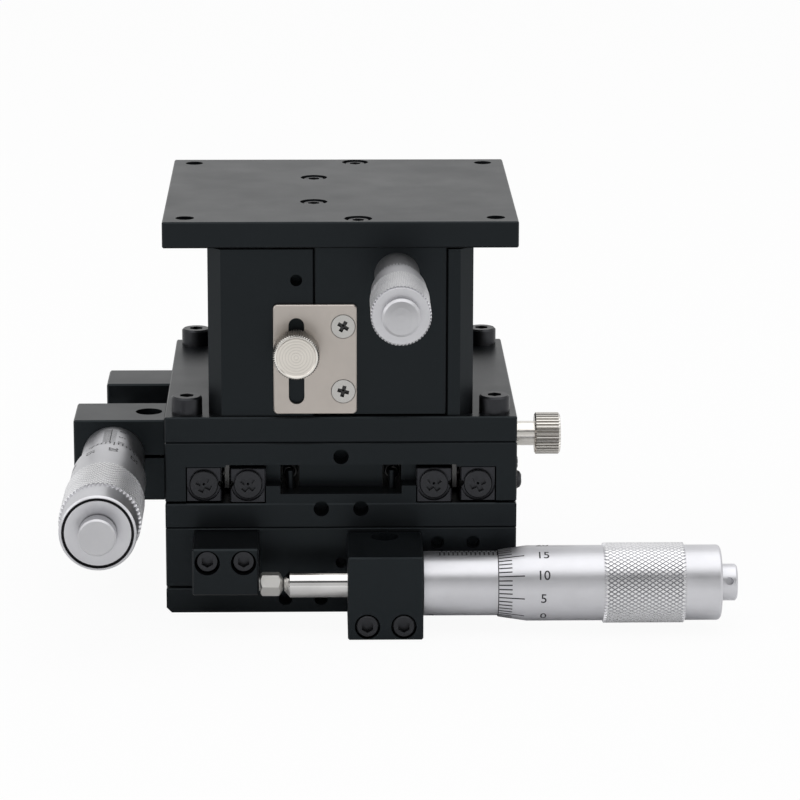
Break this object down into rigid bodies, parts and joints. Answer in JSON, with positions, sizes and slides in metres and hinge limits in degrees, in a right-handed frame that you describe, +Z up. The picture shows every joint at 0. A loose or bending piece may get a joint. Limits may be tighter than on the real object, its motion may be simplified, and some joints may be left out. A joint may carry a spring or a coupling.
{
  "type": "three-axis crossed-roller translation stage",
  "caption": "Low three-axis linear stage: crossed-roller X and Y tables with side micrometers, and a micrometer wedge-driven Z column under a square top plate, with travel locks",
  "frame": {"origin": "centre of the underside of the base plate", "axes": "+Z up, +X along the X travel, toward the X micrometer's thimble, +Y along the Y travel, away from the Y and Z micrometers' thimbles"},
  "size_m": [0.1511, 0.1402, 0.091],
  "materials": {
    "x_base": "black satin anodised",
    "x_base_rails": "fine ground steel",
    "x_base_cap_screws": "black oxide",
    "x_base_end_screws": "black oxide",
    "x_bracket": "black satin anodised",
    "x_sleeve": "satin chrome plated",
    "x_lock_plate": "satin nickel plated",
    "x_lock_plate_screws": "black oxide",
    "x_roller_cages": "fine ground steel",
    "x_springs": "spring steel",
    "x_spindle": "polished",
    "x_thimble": "satin chrome plated",
    "x_thimble_cap": "satin chrome plated",
    "x_lock_screw": "satin nickel plated",
    "x_table": "black satin anodised",
    "x_table_rails": "fine ground steel",
    "x_table_cap_screws": "black oxide",
    "x_table_end_screws": "black oxide",
    "x_stop_block": "black satin anodised",
    "x_anvil": "polished",
    "y_saddle": "black satin anodised",
    "saddle_screws": "black oxide",
    "y_bracket": "black satin anodised",
    "y_sleeve": "satin chrome plated",
    "y_lock_plate": "satin nickel plated",
    "y_lock_plate_screws": "black oxide",
    "y_roller_cages": "fine ground steel",
    "y_springs": "spring steel",
    "y_spindle": "polished",
    "y_thimble": "satin chrome plated",
    "y_thimble_cap": "satin chrome plated",
    "y_lock_screw": "satin nickel plated",
    "y_table": "black satin anodised",
    "y_table_rails": "fine ground steel",
    "y_table_cap_screws": "black oxide",
    "y_table_end_screws": "black oxide",
    "y_stop_block": "black satin anodised",
    "y_anvil": "polished",
    "z_base_plate": "black satin anodised",
    "z_base_screws": "black oxide",
    "z_fixed_block": "black satin anodised",
    "z_side_wall": "black satin anodised",
    "z_fixed_rails": "fine ground steel",
    "z_wedge_pin": "fine ground steel",
    "z_spring_screw": "black oxide",
    "z_carriage": "black satin anodised",
    "z_carriage_rails": "fine ground steel",
    "z_roller_cages": "fine ground steel",
    "z_wedge": "fine ground steel",
    "z_spring": "spring steel",
    "z_sleeve": "satin chrome plated",
    "z_spindle": "polished",
    "z_thimble": "satin chrome plated",
    "z_thimble_cap": "satin chrome plated",
    "z_lock_plate": "satin nickel plated",
    "z_lock_plate_screws": "fine ground steel",
    "z_lock_screw": "satin nickel plated",
    "top_plate": "black satin anodised",
    "top_plate_screws": "black oxide"
  },
  "bodies": {
    "x_base": {"x_base": "x_base", "x_base_rails": "x_base_rails", "x_base_cap_screws": "x_base_cap_screws", "x_base_end_screws": "x_base_end_screws", "x_bracket": "x_bracket", "x_sleeve": "x_sleeve", "x_lock_plate": "x_lock_plate", "x_lock_plate_screws": "x_lock_plate_screws", "x_springs": "x_springs"},
    "x_table": {"x_table": "x_table", "x_table_rails": "x_table_rails", "x_table_cap_screws": "x_table_cap_screws", "x_table_end_screws": "x_table_end_screws", "x_stop_block": "x_stop_block", "x_anvil": "x_anvil", "y_saddle": "y_saddle", "saddle_screws": "saddle_screws", "y_bracket": "y_bracket", "y_sleeve": "y_sleeve", "y_lock_plate": "y_lock_plate", "y_lock_plate_screws": "y_lock_plate_screws", "y_springs": "y_springs"},
    "y_table": {"y_table": "y_table", "y_table_rails": "y_table_rails", "y_table_cap_screws": "y_table_cap_screws", "y_table_end_screws": "y_table_end_screws", "y_stop_block": "y_stop_block", "y_anvil": "y_anvil", "z_base_plate": "z_base_plate", "z_base_screws": "z_base_screws", "z_fixed_block": "z_fixed_block", "z_side_wall": "z_side_wall", "z_fixed_rails": "z_fixed_rails", "z_wedge_pin": "z_wedge_pin", "z_spring": "z_spring", "z_spring_screw": "z_spring_screw"},
    "z_carriage": {"z_carriage": "z_carriage", "z_carriage_rails": "z_carriage_rails", "top_plate": "top_plate", "top_plate_screws": "top_plate_screws", "z_lock_plate": "z_lock_plate", "z_lock_plate_screws": "z_lock_plate_screws", "z_sleeve": "z_sleeve"},
    "x_roller_cages": {"x_roller_cages": "x_roller_cages"},
    "y_roller_cages": {"y_roller_cages": "y_roller_cages"},
    "z_roller_cages": {"z_roller_cages": "z_roller_cages"},
    "x_spindle": {"x_spindle": "x_spindle"},
    "y_spindle": {"y_spindle": "y_spindle"},
    "z_spindle": {"z_spindle": "z_spindle", "z_wedge": "z_wedge"},
    "x_thimble": {"x_thimble": "x_thimble", "x_thimble_cap": "x_thimble_cap"},
    "y_thimble": {"y_thimble": "y_thimble", "y_thimble_cap": "y_thimble_cap"},
    "z_thimble": {"z_thimble": "z_thimble", "z_thimble_cap": "z_thimble_cap"},
    "x_lock_screw": {"x_lock_screw": "x_lock_screw"},
    "y_lock_screw": {"y_lock_screw": "y_lock_screw"},
    "z_lock_screw": {"z_lock_screw": "z_lock_screw"}
  },
  "joints": [
    {"name": "x_thimble_turn", "type": "hinge", "parent": "x_spindle", "child": "x_thimble", "pos_m": [0, -0.0528, 0.0105], "axis": [1, 0, 0], "range_deg": [-9000, 9000]},
    {"name": "x_slide", "type": "slide", "parent": "x_base", "child": "x_table", "axis": [1, 0, 0], "range_m": [-0.0125, 0.0125], "deforming": ["x_springs"]},
    {"name": "x_spindle_feed", "type": "slide", "parent": "x_base", "child": "x_spindle", "axis": [1, 0, 0], "range_m": [-0.0125, 0.0125]},
    {"name": "x_cage_slide", "type": "slide", "parent": "x_base", "child": "x_roller_cages", "axis": [1, 0, 0], "range_m": [-0.00625, 0.00625]},
    {"name": "y_thimble_turn", "type": "hinge", "parent": "y_spindle", "child": "y_thimble", "pos_m": [-0.0528, 0, 0.0313], "axis": [0, 1, 0], "range_deg": [-9000, 9000]},
    {"name": "y_slide", "type": "slide", "parent": "x_table", "child": "y_table", "axis": [0, 1, 0], "range_m": [-0.0125, 0.0125], "deforming": ["y_springs"]},
    {"name": "y_spindle_feed", "type": "slide", "parent": "x_table", "child": "y_spindle", "axis": [0, 1, 0], "range_m": [-0.0125, 0.0125]},
    {"name": "y_cage_slide", "type": "slide", "parent": "x_table", "child": "y_roller_cages", "axis": [0, 1, 0], "range_m": [-0.00625, 0.00625]},
    {"name": "z_thimble_turn", "type": "hinge", "parent": "z_spindle", "child": "z_thimble", "pos_m": [0.0127, -0.039, 0.07865], "axis": [0, 1, 0], "range_deg": [0, 7200]},
    {"name": "z_slide", "type": "slide", "parent": "y_table", "child": "z_carriage", "axis": [0, 0, 1], "range_m": [0, 0.01], "deforming": ["z_spring"]},
    {"name": "z_spindle_feed", "type": "slide", "parent": "z_carriage", "child": "z_spindle", "axis": [0, 1, 0], "range_m": [0, 0.01]},
    {"name": "z_cage_slide", "type": "slide", "parent": "y_table", "child": "z_roller_cages", "axis": [0, 0, 1], "range_m": [0, 0.005]},
    {"name": "x_lock_turn", "type": "hinge", "parent": "x_table", "child": "x_lock_screw", "pos_m": [0, 0.0412, 0.012], "axis": [0, 1, 0], "range_deg": [0, 270]},
    {"name": "y_lock_turn", "type": "hinge", "parent": "y_table", "child": "y_lock_screw", "pos_m": [0.0412, 0, 0.032], "axis": [1, 0, 0], "range_deg": [0, 270]},
    {"name": "z_lock_turn", "type": "hinge", "parent": "y_table", "child": "z_lock_screw", "pos_m": [-0.01, -0.04, 0.0617], "axis": [0, -1, 0], "range_deg": [0, 270]}
  ],
  "couplings": [
    {"joint": "x_thimble_turn", "follows": "x_slide", "rad_per_m": 12566},
    {"joint": "x_spindle_feed", "follows": "x_slide", "ratio": 1},
    {"joint": "x_cage_slide", "follows": "x_slide", "ratio": 0.5},
    {"joint": "y_thimble_turn", "follows": "y_slide", "rad_per_m": 12566},
    {"joint": "y_spindle_feed", "follows": "y_slide", "ratio": 1},
    {"joint": "y_cage_slide", "follows": "y_slide", "ratio": 0.5},
    {"joint": "z_thimble_turn", "follows": "z_slide", "rad_per_m": 12566},
    {"joint": "z_spindle_feed", "follows": "z_slide", "ratio": 1},
    {"joint": "z_cage_slide", "follows": "z_slide", "ratio": 0.5}
  ]
}
